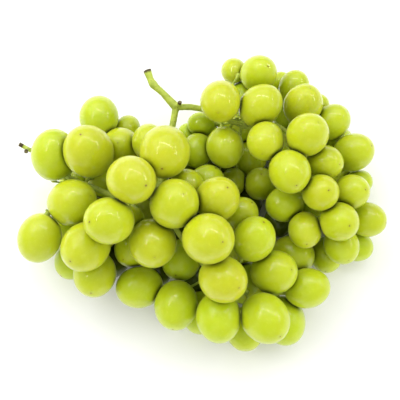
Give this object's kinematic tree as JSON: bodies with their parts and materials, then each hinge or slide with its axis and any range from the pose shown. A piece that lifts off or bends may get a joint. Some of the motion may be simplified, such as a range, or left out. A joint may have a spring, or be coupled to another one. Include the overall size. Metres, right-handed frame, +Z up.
{
  "type": "bunch of grapes",
  "caption": "Bunch of large oval green table grapes lying on a surface, in two lobes on a forked woody stalk with a fine branching stem to each berry.",
  "frame": {"origin": "on the surface that the bunch rests on, under the middle of its box", "axes": "+X along the longer side of the bunch, towards the smaller lobe; +Y away from the viewer, towards the stalk; +Z up"},
  "size_m": [0.1996, 0.1602, 0.0822],
  "materials": {
    "berry_skin_large": "thin translucent yellow-green grape skin, satin gloss with a faint bloom",
    "berry_skin_small": "thin translucent green grape skin, satin gloss with a faint bloom",
    "green_stem": "fresh green stem, matt, brown where cut"
  },
  "bodies": {
    "root": {"berries_left": "berry_skin_large", "berries_right": "berry_skin_small", "stem": "green_stem"}
  },
  "joints": []
}
